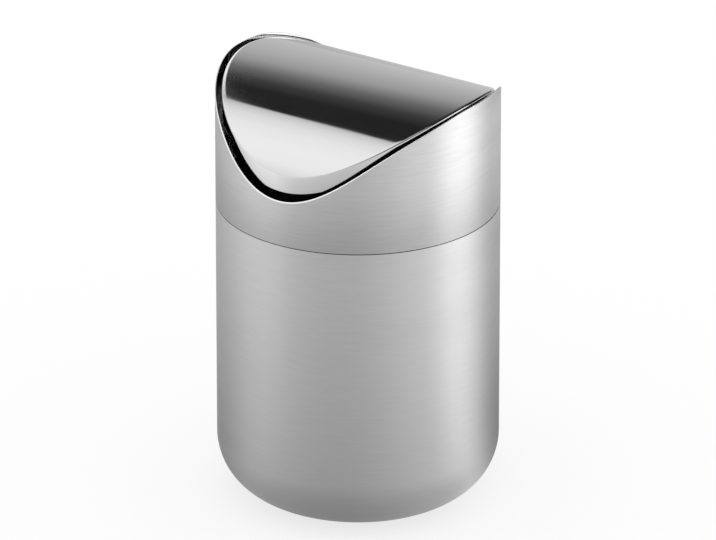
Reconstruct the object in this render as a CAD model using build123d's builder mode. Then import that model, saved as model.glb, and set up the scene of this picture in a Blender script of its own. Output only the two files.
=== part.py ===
"""Countertop trash can with a swing lid.

A deep-drawn steel can stands on a soft foot ring.  A lift-off head closes it: a short
collar of the same diameter, whose rim is cut to a saddle, on a plastic neck ring that
plugs into the can.  A barrel-vaulted lid swings in the collar on a rod that runs in two
bushes at the high points of the rim.

Millimetres, +Z up.  The origin is the centre of the standing face.  The swing axis is
parallel to X, so the high points of the rim lie at +X and -X.
"""

import os

from build123d import *

# ------------------------------------------------------------------ overall form
CAN_DIAMETER = 120.0
TOTAL_HEIGHT = 190.0      # standing face to the two peaks of the rim
HEAD_HEIGHT = 57.0        # seam between can and head, to the peaks of the rim
SHEET = 0.8               # wall of the can, the collar and the lid
BASE_ROUNDING = 26.0      # outside radius between wall and bottom
SEAM_BREAK = 0.25         # bevel on both edges of the seam
RIM_DROP = 37.5           # low points of the rim below its peaks
RIM_OVERRUN = 1.1         # the cut of the saddle runs past the wall by this factor

# ------------------------------------------------------------------ bottom and foot ring
FOOT_PROUD = 0.6          # foot ring below the steel
FOOT_RECESS = 1.0         # depth of the pressed seat for the ring
FOOT_INSET = 3.0          # ring inside the start of the base rounding
FOOT_WIDTH = 7.0
FOOT_CLEARANCE = 0.2      # ring to the wall of its seat
PANEL_RISE = 1.4          # centre of the bottom, pressed upwards inside the ring
PANEL_SLOPE = 3.0         # width of the slope round that panel

# ------------------------------------------------------------------ neck ring
NECK_WALL = 2.2
NECK_DEPTH = 14.0         # part that plugs into the can
NECK_RISE = 10.0          # part that is fixed inside the collar
NECK_FIT = 0.3            # radial clearance in the can
NECK_GLUE = 0.1           # bond line in the collar
NECK_LEAD = 1.2           # lead-in bevel
NECK_LIP = 1.4            # inward lip at the top of the ring

# ------------------------------------------------------------------ lid
LID_GAP = 2.8             # lid edge to the outside of the collar, all round
LID_ARC_OVER = 15.0       # radius of the vault, larger than the can's by this
SKIRT = 8.0               # height of the turned-down edge
LID_SHOULDER = 1.0        # bevel between vault and skirt

# ------------------------------------------------------------------ swing axle
ROD_DIAMETER = 4.0
ROD_BELOW_CROWN = 5.2     # axis below the crown of the vault
ROD_FIT = 0.05            # radial clearance in the bushes and in the skirt
ROD_BEVEL = 0.3
BUSH_DIAMETER = 6.6
BUSH_TO_LID = 0.35        # running gap between bush and skirt
BUSH_FLOOR = 0.6          # material behind the blind bore
ROD_END_FLOAT = 0.15      # rod end to the floor of the bore
PLATE_WIDTH = 17.0
PLATE_HEIGHT = 11.0
PLATE_DROP = 1.6          # middle of the plate below the swing axis
PLATE_CORNER = 2.0
PLATE_FIT = 0.05          # bush in the hole of its plate
SADDLE_WIDTH = 12.0
SADDLE_SPAN = 18.0        # across both flanges
SADDLE_PLACE = 33.0       # each side of the middle

# ------------------------------------------------------------------ derived places
R_OUT = CAN_DIAMETER / 2
R_IN = R_OUT - SHEET
SEAM_HEIGHT = TOTAL_HEIGHT - HEAD_HEIGHT
RIM_REACH = R_OUT * RIM_OVERRUN
RIM_FALL = RIM_DROP * RIM_OVERRUN**3
BOTTOM = FOOT_PROUD
SEAT = BOTTOM + FOOT_RECESS
R_FLAT = R_OUT - BASE_ROUNDING
FOOT_R = R_FLAT - FOOT_INSET
SEAT_R = FOOT_R + FOOT_CLEARANCE
PANEL_R = FOOT_R - FOOT_WIDTH - FOOT_CLEARANCE
PANEL = SEAT + PANEL_RISE
R_LID = R_OUT - LID_GAP
R_LID_IN = R_LID - SHEET
LID_ARC = R_OUT + LID_ARC_OVER
LID_CENTRE = TOTAL_HEIGHT - LID_ARC
AXIS = TOTAL_HEIGHT - ROD_BELOW_CROWN
ROD_R = ROD_DIAMETER / 2
BORE_R = ROD_R + ROD_FIT
BUSH_FACE = R_LID + BUSH_TO_LID
BORE_FLOOR = R_IN - BUSH_FLOOR
ROD_END = BORE_FLOOR - ROD_END_FLOAT
FAR = 2 * CAN_DIAMETER    # longer than anything that it cuts


# ================================================================== the can
# One drawn shell: bottom with the seat of the foot ring and a raised panel, a large
# rounding, and a straight wall up to the seam.
with BuildPart() as can_shell:
    with BuildSketch(Plane.XZ):
        with BuildLine():
            knee = BOTTOM + BASE_ROUNDING
            Polyline(
                (0, PANEL),
                (PANEL_R - PANEL_SLOPE, PANEL),
                (PANEL_R, SEAT),
                (SEAT_R, SEAT),
                (SEAT_R, BOTTOM),
                (R_FLAT, BOTTOM),
            )
            RadiusArc((R_FLAT, BOTTOM), (R_OUT, knee), -BASE_ROUNDING)
            Polyline(
                (R_OUT, knee),
                (R_OUT, SEAM_HEIGHT - SEAM_BREAK),
                (R_OUT - SEAM_BREAK, SEAM_HEIGHT),
                (R_IN, SEAM_HEIGHT),
                (R_IN, knee),
            )
            RadiusArc((R_IN, knee), (R_FLAT, BOTTOM + SHEET), BASE_ROUNDING - SHEET)
            Polyline(
                (R_FLAT, BOTTOM + SHEET),
                (SEAT_R + SHEET, BOTTOM + SHEET),
                (SEAT_R + SHEET, SEAT + SHEET),
                (PANEL_R - SHEET / 4, SEAT + SHEET),
                (PANEL_R - PANEL_SLOPE - SHEET / 4, PANEL + SHEET),
                (0, PANEL + SHEET),
                (0, PANEL),
            )
        make_face()
    revolve(axis=Axis.Z)
can_shell.part.label = "can_shell"

# Soft ring that the can stands on, sunk in its seat.
with BuildPart() as foot_ring:
    with BuildSketch(Plane.XZ):
        with Locations((FOOT_R - FOOT_WIDTH / 2, SEAT / 2)):
            Rectangle(FOOT_WIDTH, SEAT)
    revolve(axis=Axis.Z)
foot_ring.part.label = "foot_ring"

# ================================================================== the head
# Collar: a tube that carries on the line of the can, with the saddle cut across it.
# The rim is level at its peaks and falls with the cube of the distance from them.
with BuildPart() as collar_shell:
    with BuildSketch(Plane.XZ):
        with BuildLine():
            Polyline(
                (R_IN, SEAM_HEIGHT),
                (R_OUT - SEAM_BREAK, SEAM_HEIGHT),
                (R_OUT, SEAM_HEIGHT + SEAM_BREAK),
                (R_OUT, TOTAL_HEIGHT + SHEET),
                (R_IN, TOTAL_HEIGHT + SHEET),
                close=True,
            )
        make_face()
    revolve(axis=Axis.Z)
    with BuildSketch(Plane.YZ):
        with BuildLine():
            Bezier(
                (0, TOTAL_HEIGHT),
                (RIM_REACH / 3, TOTAL_HEIGHT),
                (RIM_REACH * 2 / 3, TOTAL_HEIGHT),
                (RIM_REACH, TOTAL_HEIGHT - RIM_FALL),
            )
            Polyline(
                (RIM_REACH, TOTAL_HEIGHT - RIM_FALL),
                (RIM_REACH, TOTAL_HEIGHT + RIM_FALL),
                (0, TOTAL_HEIGHT + RIM_FALL),
            )
            mirror(about=Plane.YZ)
        make_face()
    extrude(amount=FAR / 2, both=True, mode=Mode.SUBTRACT)
collar_shell.part.label = "collar_shell"

# Neck ring: bonded inside the collar, it plugs into the mouth of the can and centres
# the head there.  The lip at its top stiffens it.
with BuildPart() as neck_ring:
    with BuildSketch(Plane.XZ):
        with BuildLine():
            plug_r = R_IN - NECK_FIT
            bond_r = R_IN - NECK_GLUE
            bore_r = plug_r - NECK_WALL
            low = SEAM_HEIGHT - NECK_DEPTH
            high = SEAM_HEIGHT + NECK_RISE
            Polyline(
                (bore_r, low),
                (plug_r - NECK_LEAD / 2, low),
                (plug_r, low + NECK_LEAD),
                (plug_r, SEAM_HEIGHT),
                (bond_r, SEAM_HEIGHT + NECK_GLUE),
                (bond_r, high),
                (bore_r - NECK_LIP, high),
                (bore_r - NECK_LIP, high - NECK_WALL / 2),
                (bore_r, high - NECK_WALL),
                close=True,
            )
        make_face()
    revolve(axis=Axis.Z)
neck_ring.part.label = "neck_ring"


# Pivot plates and bushes: at each peak of the rim a curved plate lies against the
# wall of the collar, and a plastic bush stands in it with a blind bore.
def pivot_plate(side):
    with BuildPart() as plate:
        with BuildSketch(Plane.YZ):
            with Locations((0, AXIS - PLATE_DROP)):
                RectangleRounded(PLATE_WIDTH, PLATE_HEIGHT, PLATE_CORNER)
            with Locations((0, AXIS)):
                Circle(BUSH_DIAMETER / 2 + PLATE_FIT, mode=Mode.SUBTRACT)
        extrude(amount=side * CAN_DIAMETER)
        with BuildSketch(Plane.XY.offset(SEAM_HEIGHT)):
            Circle(R_IN)
            Circle(R_IN - SHEET, mode=Mode.SUBTRACT)
        extrude(amount=TOTAL_HEIGHT, mode=Mode.INTERSECT)
    return plate.part


def pivot_bush(side):
    with BuildPart() as bush:
        with BuildSketch(Plane.YZ.offset(side * BUSH_FACE)):
            with Locations((0, AXIS)):
                Circle(BUSH_DIAMETER / 2)
        extrude(amount=side * CAN_DIAMETER)
        with BuildSketch(Plane.XY.offset(SEAM_HEIGHT)):
            Circle(R_IN)
        extrude(amount=TOTAL_HEIGHT, mode=Mode.INTERSECT)
        with BuildSketch(Plane.YZ.offset(side * BUSH_FACE)):
            with Locations((0, AXIS)):
                Circle(BORE_R)
        extrude(amount=side * (BORE_FLOOR - BUSH_FACE), mode=Mode.SUBTRACT)
    return bush.part


plate_left = pivot_plate(-1)
plate_left.label = "pivot_plate_left"
plate_right = pivot_plate(1)
plate_right.label = "pivot_plate_right"
bush_left = pivot_bush(-1)
bush_left.label = "pivot_bush_left"
bush_right = pivot_bush(1)
bush_right.label = "pivot_bush_right"

# ================================================================== the lid
# Space inside the lid: the same vault and plan, one sheet smaller.
with BuildPart() as lid_hollow:
    with BuildSketch(Plane.XY.offset(SEAM_HEIGHT)):
        Circle(R_LID_IN)
    extrude(amount=TOTAL_HEIGHT - SEAM_HEIGHT)
    with BuildSketch(Plane.YZ):
        with Locations((0, LID_CENTRE)):
            Circle(LID_ARC - SHEET)
    extrude(amount=FAR / 2, both=True, mode=Mode.INTERSECT)

# Lid: a barrel vault, round in plan, with a broken shoulder and its edge turned down
# by the same height all round.
with BuildPart() as lid_cover:
    with BuildSketch(Plane.XY.offset(SEAM_HEIGHT)):
        Circle(R_LID)
    extrude(amount=TOTAL_HEIGHT - SEAM_HEIGHT)
    with BuildSketch(Plane.YZ):
        with Locations((0, LID_CENTRE)):
            Circle(LID_ARC)
    extrude(amount=FAR / 2, both=True, mode=Mode.INTERSECT)
    chamfer(lid_cover.edges().group_by(Axis.Z)[-1], length=LID_SHOULDER)
    add(lid_hollow.part, mode=Mode.SUBTRACT)
    # lower edge of the skirt, parallel to the vault
    with BuildSketch(Plane.YZ):
        with Locations((0, LID_CENTRE - SKIRT)):
            Circle(LID_ARC)
    extrude(amount=FAR / 2, both=True, mode=Mode.SUBTRACT)
    # holes that the rod passes through
    with BuildSketch(Plane.YZ):
        with Locations((0, AXIS)):
            Circle(BORE_R)
    extrude(amount=CAN_DIAMETER, both=True, mode=Mode.SUBTRACT)
lid_cover.part.label = "lid_cover"

# Swing rod, right across the lid and into both bushes.
with BuildPart() as axle_rod:
    with BuildSketch(Plane.YZ):
        with Locations((0, AXIS)):
            Circle(ROD_R)
    extrude(amount=ROD_END, both=True)
    chamfer(axle_rod.edges(), length=ROD_BEVEL)
axle_rod.part.label = "axle_rod"


# Saddles: straps spot-welded under the crown that hold the rod to the lid.
def axle_saddle(side):
    with BuildPart() as saddle:
        with BuildSketch(Plane.YZ.offset(side * SADDLE_PLACE)):
            with Locations((0, LID_CENTRE)):
                Circle(LID_ARC - SHEET)
                Circle(LID_ARC - 2 * SHEET, mode=Mode.SUBTRACT)
            with Locations((0, TOTAL_HEIGHT)):
                Rectangle(SADDLE_SPAN, CAN_DIAMETER, mode=Mode.INTERSECT)
            with Locations((0, (AXIS + TOTAL_HEIGHT) / 2 - SHEET)):
                Rectangle(2 * (ROD_R + SHEET), ROD_BELOW_CROWN - 2 * SHEET)
            with Locations((0, AXIS)):
                Circle(ROD_R + SHEET)
                Circle(ROD_R, mode=Mode.SUBTRACT)
            with Locations((0, AXIS + ROD_BELOW_CROWN / 2)):
                Rectangle(ROD_DIAMETER, ROD_BELOW_CROWN, mode=Mode.SUBTRACT)
        extrude(amount=SADDLE_WIDTH / 2, both=True)
    return saddle.part


saddle_left = axle_saddle(-1)
saddle_left.label = "axle_saddle_left"
saddle_right = axle_saddle(1)
saddle_right.label = "axle_saddle_right"

os.makedirs("parts", exist_ok=True)
export_step(can_shell.part, "parts/can_shell.step")
export_step(foot_ring.part, "parts/foot_ring.step")
export_step(collar_shell.part, "parts/collar_shell.step")
export_step(neck_ring.part, "parts/neck_ring.step")
export_step(plate_left, "parts/pivot_plate_left.step")
export_step(plate_right, "parts/pivot_plate_right.step")
export_step(bush_left, "parts/pivot_bush_left.step")
export_step(bush_right, "parts/pivot_bush_right.step")
export_step(lid_cover.part, "parts/lid_cover.step")
export_step(axle_rod.part, "parts/axle_rod.step")
export_step(saddle_left, "parts/axle_saddle_left.step")
export_step(saddle_right, "parts/axle_saddle_right.step")
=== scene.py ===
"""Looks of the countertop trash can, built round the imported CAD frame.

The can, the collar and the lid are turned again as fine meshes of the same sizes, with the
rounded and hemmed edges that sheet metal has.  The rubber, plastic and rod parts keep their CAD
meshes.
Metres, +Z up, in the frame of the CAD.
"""
import math

import bmesh
import bpy
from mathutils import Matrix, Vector


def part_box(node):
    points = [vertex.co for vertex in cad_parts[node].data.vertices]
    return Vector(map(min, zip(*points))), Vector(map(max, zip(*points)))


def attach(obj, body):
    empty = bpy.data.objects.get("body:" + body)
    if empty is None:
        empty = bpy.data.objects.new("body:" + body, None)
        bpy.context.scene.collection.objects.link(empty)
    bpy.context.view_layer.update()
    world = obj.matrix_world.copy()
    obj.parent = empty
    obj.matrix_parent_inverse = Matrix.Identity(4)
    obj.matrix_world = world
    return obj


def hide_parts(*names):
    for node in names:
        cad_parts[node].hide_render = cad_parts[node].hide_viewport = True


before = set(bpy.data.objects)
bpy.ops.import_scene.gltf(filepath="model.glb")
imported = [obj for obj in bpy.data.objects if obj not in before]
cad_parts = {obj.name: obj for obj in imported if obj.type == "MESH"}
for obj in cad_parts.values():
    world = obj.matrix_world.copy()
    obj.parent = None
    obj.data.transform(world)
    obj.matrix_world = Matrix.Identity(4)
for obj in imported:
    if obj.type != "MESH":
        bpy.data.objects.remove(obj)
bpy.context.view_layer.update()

MM = 0.001

# ------------------------------------------------------------------ sizes read from the frame
can_low, can_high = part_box("can_shell")
collar_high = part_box("collar_shell")[1]
lid_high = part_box("lid_cover")[1]
foot_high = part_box("foot_ring")[1]
R_OUT = can_high.x
BOTTOM = can_low.z
SEAM = can_high.z
PEAK = collar_high.z
R_LID = lid_high.x
CROWN = lid_high.z
FOOT_R = foot_high.x
SEAT = foot_high.z

# ------------------------------------------------------------------ sizes of the sheet metal
SHEET = 0.8 * MM
BASE_ROUNDING = 26 * MM
SEAM_GROOVE = 0.16 * MM   # half the height of the shadow line at the seam
SEAM_DEPTH = 0.3 * MM
SEAT_CLEAR = 0.2 * MM     # foot ring to the wall of its seat
FOOT_WIDTH = 7 * MM
PANEL_RISE = 1.4 * MM     # pressed panel inside the foot ring
PANEL_SLOPE = 3 * MM
PANEL_LEAN = SHEET / 4    # how far the upper side of its slope is set in
RIM_DROP = 37.5 * MM      # low points of the rim below its peaks
RIM_EASE = 1.9 * MM       # how much lower the front cut runs halfway between them
RIM_SHEET = 0.5 * MM      # the collar as its cut rim shows it
RIM_EDGE = 0.12 * MM      # rounding of the cut rim
LID_ARC = R_OUT + 15 * MM
SKIRT = 8 * MM
SHOULDER = 1.0 * MM       # rounding between vault and skirt
HEM = 0.3 * MM            # rounding of the lower edge of the skirt

R_IN = R_OUT - SHEET
R_RIM = R_OUT - RIM_SHEET
LID_CENTRE = CROWN - LID_ARC

# ------------------------------------------------------------------ fineness of the meshes
AROUND = 320              # divisions round the axis
CAN_STEPS = 24            # divisions of each rounding of the can
RIM_STEPS = 5             # of the cut rim
LID_STEPS = 8             # of the lid's shoulder and hem
VAULT_RINGS = 36          # from the axis to the shoulder
SHARP = 32                # degrees from which an edge stays sharp


# ================================================================== meshes
def rounded(corners, steps):
    """A run of (r, z, radius) corners as points, each corner with a radius made an arc."""
    points = []
    last = len(corners) - 1
    for i, (r, z, radius) in enumerate(corners):
        here = Vector((r, z))
        if not radius:
            points.append(here)
            continue
        back = Vector(corners[i - 1][:2]) - here
        ahead = Vector(corners[0 if i == last else i + 1][:2]) - here
        half = back.angle(ahead) / 2
        middle = (back.normalized() + ahead.normalized()).normalized()
        centre = here + middle * (radius / math.sin(half))
        start = here + back.normalized() * (radius / math.tan(half)) - centre
        end = here + ahead.normalized() * (radius / math.tan(half)) - centre
        sweep = start.angle_signed(end)
        for k in range(steps + 1):
            a = -sweep * k / steps
            arm = Vector((
                start.x * math.cos(a) - start.y * math.sin(a),
                start.x * math.sin(a) + start.y * math.cos(a),
            ))
            points.append(centre + arm)
    return points


def upright(bm, outline, angle):
    """Vertices of an (r, z) outline that stands on the Z axis, turned to an angle."""
    return [bm.verts.new((r * math.cos(angle), r * math.sin(angle), z)) for r, z in outline]


def strip(bm, one, two, closed=False):
    """Faces between two rows of vertices.  Closed rows run on from their end to their start."""
    count = len(one)
    for k in range(count if closed else count - 1):
        n = (k + 1) % count
        bm.faces.new((one[k], two[k], two[n], one[n]))


def placed(name, bm):
    """The object made of a finished bmesh."""
    mesh = bpy.data.meshes.new(name)
    bm.to_mesh(mesh)
    bm.free()
    piece = bpy.data.objects.new(name, mesh)
    bpy.context.scene.collection.objects.link(piece)
    return piece


def turned(name, section, closed):
    """A body round the Z axis: section(angle) gives its (r, z) outline at that angle.

    A closed outline is a loop in the wall.  An open one starts and ends on the axis.
    """
    bm = bmesh.new()
    inner = slice(None) if closed else slice(1, -1)
    angles = [2 * math.pi * i / AROUND for i in range(AROUND)]
    rings = [upright(bm, section(a)[inner], a) for a in angles]
    pairs = list(zip(rings, rings[1:] + rings[:1]))
    for one, two in pairs:
        strip(bm, one, two, closed)
    if not closed:
        ends = section(0.0)
        first = bm.verts.new((0, 0, ends[0].y))
        final = bm.verts.new((0, 0, ends[-1].y))
        for one, two in pairs:
            bm.faces.new((first, two[0], one[0]))
            bm.faces.new((final, one[-1], two[-1]))
    bmesh.ops.recalc_face_normals(bm, faces=bm.faces)
    for face in bm.faces:
        face.smooth = True
    for edge in bm.edges:
        edge.smooth = edge.calc_face_angle(0.0) < math.radians(SHARP)
    return placed(name, bm)


def can_outline(angle):
    """Bottom with the seat of the foot ring, large rounding, straight wall, at any angle."""
    seat_r = FOOT_R + SEAT_CLEAR
    panel_r = FOOT_R - FOOT_WIDTH - SEAT_CLEAR
    panel = SEAT + PANEL_RISE
    flat_r = panel_r - PANEL_SLOPE
    small = SHEET / 2
    return rounded([
        (0, panel, 0),
        (flat_r, panel, 2 * SHEET),
        (panel_r, SEAT, SHEET),
        (seat_r, SEAT, 0),
        (seat_r, BOTTOM, small),
        (R_OUT, BOTTOM, BASE_ROUNDING),
        (R_OUT, SEAM - SEAM_GROOVE, SEAM_GROOVE / 2),
        (R_OUT - SEAM_DEPTH, SEAM - SEAM_GROOVE, 0),
        (R_OUT - SEAM_DEPTH, SEAM, 0),
        (R_IN, SEAM, 0),
        (R_IN, BOTTOM + SHEET, BASE_ROUNDING - SHEET),
        (seat_r + SHEET, BOTTOM + SHEET, 0),
        (seat_r + SHEET, SEAT + SHEET, small),
        (panel_r - PANEL_LEAN, SEAT + SHEET, 0),
        (flat_r - PANEL_LEAN, panel + SHEET, 0),
        (0, panel + SHEET, 0),
    ], CAN_STEPS)


def rim_height(y):
    """The rim falls from its peaks with the cube of the distance from them, eased in front."""
    share = abs(y / R_OUT)
    ease = RIM_EASE * (4 * share * (1 - share)) ** 3 if y < 0 else 0.0
    return PEAK - RIM_DROP * share ** 3 - ease


def collar_outline(angle):
    """Wall of the collar, up to the saddle cut across it."""
    outer = rim_height(R_OUT * math.sin(angle))
    inner = rim_height(R_RIM * math.sin(angle))
    return rounded([
        (R_RIM, SEAM, 0),
        (R_OUT - SEAM_DEPTH, SEAM, 0),
        (R_OUT - SEAM_DEPTH, SEAM + SEAM_GROOVE, 0),
        (R_OUT, SEAM + SEAM_GROOVE, SEAM_GROOVE / 2),
        (R_OUT, outer, RIM_EDGE),
        (R_RIM, inner, RIM_EDGE),
    ], RIM_STEPS)


def lid_outline(angle):
    """Vault from the axis out, shoulder, skirt, hem, and back under the vault."""
    slope = math.sin(angle)
    reach = R_LID - 2 * SHOULDER
    radii = [reach * k / VAULT_RINGS for k in range(VAULT_RINGS + 1)]
    under_arc = LID_ARC - SHEET
    edge = R_LID - SHEET

    def vault(r, arc):
        return LID_CENTRE + math.sqrt(arc ** 2 - (r * slope) ** 2)

    return rounded([
        *((r, vault(r, LID_ARC), 0) for r in radii),
        (R_LID, vault(R_LID, LID_ARC), SHOULDER),
        (R_LID, vault(R_LID, LID_ARC) - SKIRT, HEM),
        (edge, vault(edge, LID_ARC) - SKIRT, HEM),
        (edge, vault(edge, under_arc), SHOULDER - SHEET),
        *((r, vault(r, under_arc), 0) for r in reversed(radii)),
    ], LID_STEPS)


# ================================================================== node helpers
NOISE_MIDDLE = (0.3, 0.7)


def new_material(name, kind="ShaderNodeBsdfPrincipled"):
    """A material with one shader.  Returns it with its node tree and that shader."""
    material = bpy.data.materials.new(name)
    material.use_nodes = True
    tree = material.node_tree
    tree.nodes.clear()
    out = tree.nodes.new("ShaderNodeOutputMaterial")
    shader = tree.nodes.new(kind)
    tree.links.new(shader.outputs[0], out.inputs[0])
    return material, tree, shader


def feed(tree, socket, value):
    """Give a socket what it takes: another node's output, a number, or a grey for a colour."""
    if isinstance(value, bpy.types.NodeSocket):
        tree.links.new(value, socket)
    elif socket.type == "RGBA":
        socket.default_value = (value, value, value, 1)
    else:
        socket.default_value = value


def maths(tree, operation, *values):
    """A Math node on one or two values."""
    node = tree.nodes.new("ShaderNodeMath")
    node.operation = operation
    for socket, value in zip(node.inputs, values):
        feed(tree, socket, value)
    return node.outputs[0]


def mixed(tree, share, one, two, blend="MIX"):
    """one where share is 0, two (or one blended with two) where it is 1; greys or sockets."""
    node = tree.nodes.new("ShaderNodeMix")
    node.data_type = "RGBA"
    node.blend_type = blend
    colours = [s for s in node.inputs if s.type == "RGBA"]
    feed(tree, node.inputs[0], share)
    feed(tree, colours[0], one)
    feed(tree, colours[1], two)
    return [s for s in node.outputs if s.type == "RGBA"][0]


def rescaled(tree, value, start, end, low=0.0, high=1.0):
    """value taken from the range start to end into the range low to high, and held there."""
    node = tree.nodes.new("ShaderNodeMapRange")
    node.inputs["From Min"].default_value = start
    node.inputs["From Max"].default_value = end
    node.inputs["To Min"].default_value = low
    node.inputs["To Max"].default_value = high
    tree.links.new(value, node.inputs["Value"])
    return node.outputs[0]


def ramped(tree, value, low, high):
    """0 at low and beyond it, 1 at high and beyond it, and a smooth step between."""
    ramp = rescaled(tree, value, low, high)
    ramp.node.interpolation_type = "SMOOTHSTEP"
    return ramp


def noise(tree, cells, detail, roughness):
    """A noise with so many cells per metre along X, Y and Z."""
    coords = tree.nodes.new("ShaderNodeTexCoord")
    mapping = tree.nodes.new("ShaderNodeMapping")
    mapping.inputs["Scale"].default_value = cells
    tree.links.new(coords.outputs["Object"], mapping.inputs["Vector"])
    node = tree.nodes.new("ShaderNodeTexNoise")
    node.inputs["Scale"].default_value = 1.0
    node.inputs["Detail"].default_value = detail
    node.inputs["Roughness"].default_value = roughness
    tree.links.new(mapping.outputs[0], node.inputs["Vector"])
    return node.outputs[0]


def spread(tree, value, low, high):
    """The middle of a noise, where most of its values lie, spread from low to high."""
    return rescaled(tree, value, *NOISE_MIDDLE, low, high)


def axes_of(tree, vector):
    """The X, Y and Z of a vector."""
    axes = tree.nodes.new("ShaderNodeSeparateXYZ")
    tree.links.new(vector, axes.inputs[0])
    return axes.outputs


def object_axes(tree):
    """The X, Y and Z of the place on the surface."""
    return axes_of(tree, tree.nodes.new("ShaderNodeTexCoord").outputs["Object"])


def normal_axes(tree):
    """The X, Y and Z of the direction in which the surface faces."""
    return axes_of(tree, tree.nodes.new("ShaderNodeNewGeometry").outputs["Normal"])


def degrees_of(tree, rise, run):
    """The direction of a rise over a run, in degrees."""
    return maths(tree, "MULTIPLY", maths(tree, "ARCTAN2", rise, run), math.degrees(1))


def bump(tree, shader, height, strength, distance):
    """Let a height shade the surface of a shader."""
    node = tree.nodes.new("ShaderNodeBump")
    node.inputs["Strength"].default_value = strength
    node.inputs["Distance"].default_value = distance
    tree.links.new(height, node.inputs["Height"])
    tree.links.new(node.outputs[0], shader.inputs["Normal"])


# ================================================================== materials
# noise cells per metre along X, Y and Z
HAIRLINES = (60, 60, 9000)
STROKES = (80, 80, 2500)
BANDS = (10, 10, 90)
LENGTHWISE = (60, 1500, 1500)
HAZE = (25, 60, 60)
WAVES = (14, 45, 45)
FINE = (1800, 1800, 1800)

GRAIN_TONE = 0.015        # how far the grain takes polished steel's grey up and down
GRAIN_HEIGHT = 0.004      # of the grain, as a share of the waves' height
LYING = (0.15, 0.55)      # Z of the normal, from sheet that stands to sheet that lies, across which the paler painted-light grey of upright sheet fades out
POLISH = (0.045, 0.095)   # roughness of polished steel
RIM_HIGHLIGHT_FACING = (0.35, 0.6)         # Z of the normal, from the collar's wall to its cut rim, where the painted highlight sets in
RIM_HIGHLIGHT_GREY = 0.92           # grey of the painted highlight on that rim
PAINTED_SHADE_SPAN = (SEAM - 2 * MM, SEAM + 36 * MM)  # heights where the collar's painted shade starts and ends
PAINTED_SHADE_FACTOR = 0.82         # what that painted shade multiplies the brushing's grey by at its start


def brushed_steel(name, dark, light, rough, paint_light=None):
    """Steel brushed round the axis: hairlines lie level, highlights stretch upright.

    The function given last, if any, takes the tree and a colour and returns that colour with
    painted light and shade on it.
    """
    material, tree, shader = new_material(name)
    hairs = noise(tree, HAIRLINES, detail=2.0, roughness=0.6)
    strokes = noise(tree, STROKES, detail=3.0, roughness=0.65)
    bands = noise(tree, BANDS, detail=2.0, roughness=0.5)
    colour = mixed(tree, strokes, dark, light)
    if paint_light:
        colour = paint_light(tree, colour)
    tree.links.new(colour, shader.inputs["Base Color"])
    tree.links.new(spread(tree, bands, *rough), shader.inputs["Roughness"])
    shader.inputs["Metallic"].default_value = 1.0
    shader.inputs["Anisotropic"].default_value = 0.8
    shader.inputs["Anisotropic Rotation"].default_value = 0.25
    tangent = tree.nodes.new("ShaderNodeTangent")
    tangent.direction_type = "RADIAL"
    tangent.axis = "Z"
    tree.links.new(tangent.outputs[0], shader.inputs["Tangent"])
    bump(tree, shader, hairs, strength=0.03, distance=0.01 * MM)
    return material


def collar_painted_light(tree, colour):
    """A painted shade, darker towards the seam, and a painted highlight, a pale grey, on the cut
    rim, which faces up.
    """
    # painted shade: the grey darkens towards the seam
    painted_shade = ramped(tree, object_axes(tree)[2], *PAINTED_SHADE_SPAN)
    colour = mixed(tree, 1.0, colour, mixed(tree, painted_shade, PAINTED_SHADE_FACTOR, 1.0), "MULTIPLY")
    # painted highlight: a pale grey on the faces of the rim that look up
    cut = ramped(tree, normal_axes(tree)[2], *RIM_HIGHLIGHT_FACING)
    return mixed(tree, cut, colour, RIM_HIGHLIGHT_GREY)


def polished_steel(name, grey, painted_standing_grey):
    """Polished sheet with a faint lengthwise grain: one grey where it lies, another where it
    stands; the lid's paler grey where it stands is painted light.
    """
    material, tree, shader = new_material(name)
    grain = noise(tree, LENGTHWISE, detail=3.0, roughness=0.6)
    haze = noise(tree, HAZE, detail=3.0, roughness=0.5)
    waves = noise(tree, WAVES, detail=1.0, roughness=0.4)
    lying = ramped(tree, maths(tree, "ABSOLUTE", normal_axes(tree)[2]), *LYING)
    # painted light: upright sheet takes its own, paler grey
    side = mixed(tree, grain, painted_standing_grey - GRAIN_TONE, painted_standing_grey + GRAIN_TONE)
    over = mixed(tree, grain, grey - GRAIN_TONE, grey + GRAIN_TONE)
    tree.links.new(mixed(tree, lying, side, over), shader.inputs["Base Color"])
    tree.links.new(spread(tree, haze, *POLISH), shader.inputs["Roughness"])
    shader.inputs["Metallic"].default_value = 1.0
    height = maths(tree, "ADD", waves, maths(tree, "MULTIPLY", grain, GRAIN_HEIGHT))
    bump(tree, shader, height, strength=1.0, distance=0.06 * MM)
    return material


def moulded(name, dark, light, rough):
    """Fine-grained plastic or rubber."""
    material, tree, shader = new_material(name)
    grain = noise(tree, FINE, detail=3.0, roughness=0.6)
    tree.links.new(mixed(tree, grain, dark, light), shader.inputs["Base Color"])
    tree.links.new(spread(tree, grain, *rough), shader.inputs["Roughness"])
    bump(tree, shader, grain, strength=0.15, distance=0.05 * MM)
    return material


# dark and light grey, and the range of the roughness
brushed = brushed_steel("brushed_steel", 0.545, 0.655, (0.40, 0.46))
collar = brushed_steel("collar_steel", 0.52, 0.68, (0.33, 0.39), collar_painted_light)
# dark steel for the pivot parts and rod; on the faces in the seam's groove it is painted shade
dark_steel_and_seam_shade = brushed_steel("steel_dark_and_seam_shade", 0.05, 0.09, (0.40, 0.50))
black = moulded("black_plastic", 0.012, 0.022, (0.38, 0.52))
rubber = moulded("foot_rubber", 0.020, 0.035, (0.70, 0.85))
# grey where the sheet lies and where it stands; the lid's paler grey where it stands is painted
# light
polished = polished_steel("polished_steel", 0.605, 0.66)
# the collar's inner side: polished, not brushed, and its pale grey is painted light
inside = polished_steel("collar_inside", 0.80, 0.80)


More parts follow.
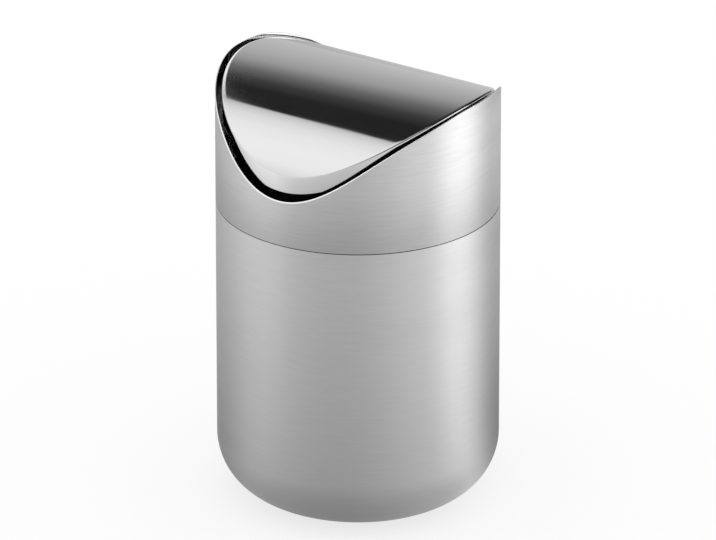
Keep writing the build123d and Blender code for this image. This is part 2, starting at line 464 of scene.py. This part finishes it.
# ================================================================== the pieces
def dress(piece, body, node, material):
    """Let a piece take the place of a CAD node."""
    piece.data.materials.append(material)
    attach(piece, body)
    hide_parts(node)


def keep(node, material):
    """Show a CAD node itself, in a material."""
    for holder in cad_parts[node].material_slots:
        holder.material = material


def repaint(piece, material, chosen):
    """Give a piece a further material on the faces for which chosen(face) is true."""
    piece.data.materials.append(material)
    for face in piece.data.polygons:
        if chosen(face):
            face.material_index = len(piece.data.materials) - 1


def from_axis(face):
    """Distance of a face from the Z axis."""
    return math.hypot(face.center.x, face.center.y)


def on_inner_side(face):
    """Whether a face of the collar belongs to its inner side."""
    return from_axis(face) < R_RIM + RIM_EDGE / 4


def in_groove(face):
    """Whether a face of the can or the collar lies inside the shadow line of the seam."""
    allowance = 1.05      # the middle of a face lies on the groove's floor or side
    deep = R_OUT - allowance * SEAM_DEPTH < from_axis(face) < R_OUT - SEAM_GROOVE / 2
    return deep and abs(face.center.z - SEAM) < allowance * SEAM_GROOVE


can_wall = turned("can_wall", can_outline, False)
dress(can_wall, "can", "can_shell", brushed)
collar_wall = turned("collar_wall", collar_outline, True)
dress(collar_wall, "head", "collar_shell", collar)
repaint(collar_wall, inside, on_inner_side)
# painted shade: the groove of the seam takes the near-black steel
repaint(can_wall, dark_steel_and_seam_shade, in_groove)
repaint(collar_wall, dark_steel_and_seam_shade, in_groove)
dress(turned("lid_vault", lid_outline, False), "lid", "lid_cover", polished)
keep("foot_ring", rubber)
keep("neck_ring", black)
for side in ("left", "right"):
    keep("pivot_bush_" + side, black)
    keep("pivot_plate_" + side, dark_steel_and_seam_shade)
    keep("axle_saddle_" + side, dark_steel_and_seam_shade)
keep("axle_rod", dark_steel_and_seam_shade)

# ================================================================== camera
PICTURE_WIDTH = 716
FOCAL_PIXELS = 9308       # focal length in pixels of that width
CAMERA_AZIMUTH = 33.55    # degrees from the -Y side, towards +X
FACING = CAMERA_AZIMUTH - 90            # the same from the +X side, towards +Y
CAMERA_TILT = 23.79       # degrees below the horizon
CAMERA_AWAY = 60 * R_OUT
CAMERA_HEIGHT = 28.113 * R_OUT


def make_camera():
    """A distant camera, which looks down on the object from the front right."""
    data = bpy.data.cameras.new("camera")
    camera = bpy.data.objects.new("camera", data)
    bpy.context.scene.collection.objects.link(camera)
    data.sensor_fit = "HORIZONTAL"
    data.sensor_width = 36.0
    data.lens = FOCAL_PIXELS / PICTURE_WIDTH * data.sensor_width
    data.clip_start = 0.1
    data.clip_end = 50.0
    azimuth = math.radians(CAMERA_AZIMUTH)
    tilt = math.radians(CAMERA_TILT)
    camera.location = (CAMERA_AWAY * math.sin(azimuth), -CAMERA_AWAY * math.cos(azimuth),
                       CAMERA_HEIGHT)
    look = Vector((-math.cos(tilt) * math.sin(azimuth), math.cos(tilt) * math.cos(azimuth),
                   -math.sin(tilt)))
    camera.rotation_mode = "QUATERNION"
    camera.rotation_quaternion = look.to_track_quat("-Z", "Y")
    bpy.context.scene.camera = camera


make_camera()


# ================================================================== studio
def make_world():
    """An evenly lit white room."""
    world = bpy.data.worlds.new("studio")
    bpy.context.scene.world = world
    world.use_nodes = True
    tree = world.node_tree
    tree.nodes.clear()
    out = tree.nodes.new("ShaderNodeOutputWorld")
    white = tree.nodes.new("ShaderNodeBackground")
    white.inputs["Color"].default_value = (1, 1, 1, 1)
    white.inputs["Strength"].default_value = 1.0
    tree.links.new(white.outputs[0], out.inputs[0])


def beside(degrees, distance, height):
    """A place round the object, degrees to the right of the camera as it looks."""
    a = math.radians(FACING + degrees)
    return Vector((distance * math.cos(a), distance * math.sin(a), height))


def softbox(name, place, aim, width, height, brightness):
    """A soft panel.  brightness is what it adds to the white room in a mirror."""
    data = bpy.data.lights.new(name, "AREA")
    data.shape = "RECTANGLE"
    data.size = width
    data.size_y = height
    data.energy = brightness * math.pi * width * height
    lamp = bpy.data.objects.new(name, data)
    bpy.context.scene.collection.objects.link(lamp)
    lamp.location = place
    lamp.rotation_mode = "QUATERNION"
    lamp.rotation_quaternion = (Vector(aim) - Vector(place)).to_track_quat("-Z", "Y")


def stage_card(name, bm, place, turn):
    """A stage piece that only metal and glass see.  Returns its node tree and its glow."""
    card = placed(name, bm)
    card.location = place
    card.rotation_euler = (0, 0, turn)
    material, tree, glow = new_material(name, "ShaderNodeEmission")
    card.data.materials.append(material)
    card.visible_camera = False
    card.visible_diffuse = False
    card.visible_shadow = False
    return tree, glow


def tones(tree, value, stops, strength):
    """A grey ramp through (value, tone) stops, divided by strength, since it ends at 1."""
    first, final = stops[0][0], stops[-1][0]
    ramp = tree.nodes.new("ShaderNodeValToRGB")
    elements = ramp.color_ramp.elements
    while len(elements) < len(stops):
        elements.new(0.5)
    for element, (at, tone) in zip(elements, stops):
        element.position = (at - first) / (final - first)
        element.color = (tone / strength, tone / strength, tone / strength, 1)
    tree.links.new(rescaled(tree, value, first, final), ramp.inputs[0])
    return ramp.outputs[0]


ROOF_DISTANCE = 0.6       # from the crown of the lid
ROOF_LEFT = -1.2
ROOF_RIGHT = 0.6
ROOF_STEPS = 80
ROOF_STRENGTH = 1.6       # no tone of the roof is above it
CLOTH_EDGE = 87.4         # degrees round the roof from the back horizon
CLOTH_SOFT = 0.2          # degrees by which that edge is soft to either side
CLOTH_FAN = 2.0           # per metre: its tones fan out from the front edge to -X
CLOTH_MIDDLE = -0.36      # x at which they lie as listed
CLOTH_CORNER = -0.395     # where its front edge starts to turn back, to end at CLOTH_END
CLOTH_END = -0.468
CLOTH_TURN = 4.0          # power with which it turns back
# degrees round the roof from the back horizon, with its tone there
CLOTH_TONES = ((-8, 0.70), (10, 0.68), (18, 0.66), (28, 0.60), (38, 0.50), (51, 0.21),
               (61, 0.070), (71, 0.026), (87.4, 0.024))
CANOPY_TONES = ((-8, 1.5), (60, 1.5), (84, 0.9), (87.4, 0.72), (89.5, 0.94), (94, 1.14),
                (101, 1.29), (112, 1.37), (124, 1.35), (134, 1.12), (150, 1.0))


def make_roof():
    """Tent roof bent round the lid: bright, with a dark cloth from the front edge backwards."""
    bm = bmesh.new()
    low, high = (math.radians(CANOPY_TONES[k][0]) for k in (0, -1))
    angles = [low + (high - low) * k / ROOF_STEPS for k in range(ROOF_STEPS + 1)]

    def row(x):
        return [bm.verts.new((x, ROOF_DISTANCE * math.cos(a), ROOF_DISTANCE * math.sin(a)))
                for a in angles]

    strip(bm, row(ROOF_LEFT), row(ROOF_RIGHT))
    tree, glow = stage_card("tent_roof", bm, (0, 0, CROWN), 0)
    x, y, z = object_axes(tree)
    angle = degrees_of(tree, z, y)
    behind = maths(tree, "SUBTRACT", angle, CLOTH_EDGE)
    fan = maths(tree, "MULTIPLY", maths(tree, "SUBTRACT", CLOTH_MIDDLE, x), CLOTH_FAN)
    fanned = maths(tree, "MULTIPLY", behind, maths(tree, "ADD", fan, 1.0))
    cloth = tones(tree, maths(tree, "ADD", fanned, CLOTH_EDGE), CLOTH_TONES, ROOF_STRENGTH)
    past = maths(tree, "SUBTRACT", CLOTH_CORNER, x)
    past = maths(tree, "MAXIMUM", maths(tree, "DIVIDE", past, CLOTH_CORNER - CLOTH_END), 0.0)
    turn = maths(tree, "MULTIPLY", maths(tree, "POWER", past, CLOTH_TURN), CLOTH_EDGE)
    bare = ramped(tree, maths(tree, "ADD", behind, turn), -CLOTH_SOFT, CLOTH_SOFT)
    canopy = tones(tree, angle, CANOPY_TONES, ROOF_STRENGTH)
    tree.links.new(mixed(tree, bare, cloth, canopy), glow.inputs["Color"])
    glow.inputs["Strength"].default_value = ROOF_STRENGTH


WALL_STEPS = 120
WALL_STRENGTH = 2.0       # no tone of the wall is above it
# (radius, height) of the tent wall, from the table upwards
WALL_SECTION = ((0.036, 0.0002), (0.07, 0.001), (0.12, 0.002), (0.20, 0.004), (0.30, 0.010),
                (0.45, 0.04), (0.65, 0.12), (0.85, 0.30), (1.00, 0.60), (1.05, 0.95))
# degrees to the right of the camera, round the tent, with its tone there
WALL_TONES = ((-180, 0.46), (-154, 0.46), (-138, 0.58), (-119, 0.77), (-89, 1.04), (-71, 1.07),
              (-50, 0.80), (-30, 0.72), (-10, 0.69), (0, 0.71), (18, 0.82), (36, 0.97),
              (50, 1.03), (60, 1.20), (72, 1.59), (84, 1.71), (94, 1.62), (104, 1.34),
              (114, 1.02), (124, 0.89), (140, 0.80), (160, 0.71), (180, 0.50))
# distance from the axis, with what the tone is multiplied by there; the low tones near the can
# are a painted shadow of the can on the table
TABLE_TONES = ((0.0, 0.42), (0.045, 0.49), (0.065, 0.54), (0.09, 0.535), (0.13, 0.555),
               (0.20, 0.72), (0.30, 0.945), (0.40, 1.08), (0.50, 1.12), (2.0, 1.15))
TABLE_STRENGTH = 1.2      # none of these is above it
TABLE_SIDES = 0.47        # how much darker the table is beside the can than in front of it
SIDE_LEFT = (-35, -115)   # degrees to the right of the camera between which that sets in
SIDE_RIGHT = (68, 108)
SIDE_FADE = (0.10, 0.38)  # distances from the axis between which it fades out


def make_wall():
    """Tent wall that runs out of the table all round: bright at the sides, greyer in front."""
    bm = bmesh.new()
    angles = [2 * math.pi * i / WALL_STEPS for i in range(WALL_STEPS)]
    rings = [upright(bm, WALL_SECTION, a) for a in angles]
    for one, two in zip(rings, rings[1:] + rings[:1]):
        strip(bm, one, two)
    tree, glow = stage_card("tent_wall", bm, (0, 0, 0), math.radians(FACING))
    x, y = object_axes(tree)[:2]
    angle = degrees_of(tree, y, x)
    squares = [maths(tree, "MULTIPLY", part, part) for part in (x, y)]
    distance = maths(tree, "SQRT", maths(tree, "ADD", *squares))
    sides = maths(tree, "ADD", ramped(tree, angle, *SIDE_LEFT), ramped(tree, angle, *SIDE_RIGHT))
    near = maths(tree, "SUBTRACT", 1.0, ramped(tree, distance, *SIDE_FADE))
    shade = maths(tree, "MULTIPLY", maths(tree, "MULTIPLY", sides, near), TABLE_SIDES)
    table = maths(tree, "MULTIPLY", tones(tree, distance, TABLE_TONES, TABLE_STRENGTH),
                  TABLE_STRENGTH * WALL_STRENGTH)
    tree.links.new(tones(tree, angle, WALL_TONES, WALL_STRENGTH), glow.inputs["Color"])
    tree.links.new(maths(tree, "MULTIPLY", table, maths(tree, "SUBTRACT", 1.0, shade)),
                   glow.inputs["Strength"])


FLAG_AWAY = 0.55          # from the crown of the lid
FLAG_HEIGHTS = (38, 48, 58, 68, 78)     # degrees above the crown
FLAG_SIDES = range(-60, 81, 10)         # degrees to the right of the camera
FLAG_TONE = 0.02


def make_flag():
    """Dark flag high up in front of the camera's side: it draws the lid's right shoulder."""
    bm = bmesh.new()
    heights = [math.radians(degrees) for degrees in FLAG_HEIGHTS]
    section = [(FLAG_AWAY * math.cos(e), FLAG_AWAY * math.sin(e)) for e in heights]
    columns = [upright(bm, section, math.radians(degrees)) for degrees in FLAG_SIDES]
    for one, two in zip(columns, columns[1:]):
        strip(bm, one, two)
    tree, glow = stage_card("dark_flag", bm, (0, 0, CROWN), math.radians(FACING))
    feed(tree, glow.inputs["Color"], FLAG_TONE)


FLOOR_REACH = 6.0         # from the middle of the floor to its sides
FLOOR_CELLS = 8
FLOOR_PAINT = 0.28        # the share of the floor's white that takes shadows


def make_floor():
    """White sweep.  Part of its white is a glow for camera and metal; the rest takes shadows."""
    bm = bmesh.new()
    bmesh.ops.create_grid(bm, x_segments=FLOOR_CELLS, y_segments=FLOOR_CELLS, size=FLOOR_REACH)
    floor = placed("floor", bm)
    material, tree, shader = new_material("floor")
    feed(tree, shader.inputs["Base Color"], FLOOR_PAINT)
    shader.inputs["Roughness"].default_value = 0.9
    shader.inputs["Specular IOR Level"].default_value = 0.0
    ray = tree.nodes.new("ShaderNodeLightPath").outputs
    seen = maths(tree, "ADD", ray["Is Camera Ray"], ray["Is Glossy Ray"])
    seen = maths(tree, "ADD", seen, ray["Is Transmission Ray"])
    glow = maths(tree, "MULTIPLY", seen, 1 - FLOOR_PAINT)
    glow.node.use_clamp = True
    shader.inputs["Emission Color"].default_value = (1, 1, 1, 1)
    tree.links.new(glow, shader.inputs["Emission Strength"])
    floor.data.materials.append(material)


make_world()
make_roof()
make_flag()
make_wall()
softbox("right_box", place=beside(degrees=88, distance=0.8, height=0.30), aim=(0, 0, 0.15),
        width=0.3, height=0.4, brightness=0.2)
make_floor()
bpy.context.scene.view_settings.view_transform = "Standard"
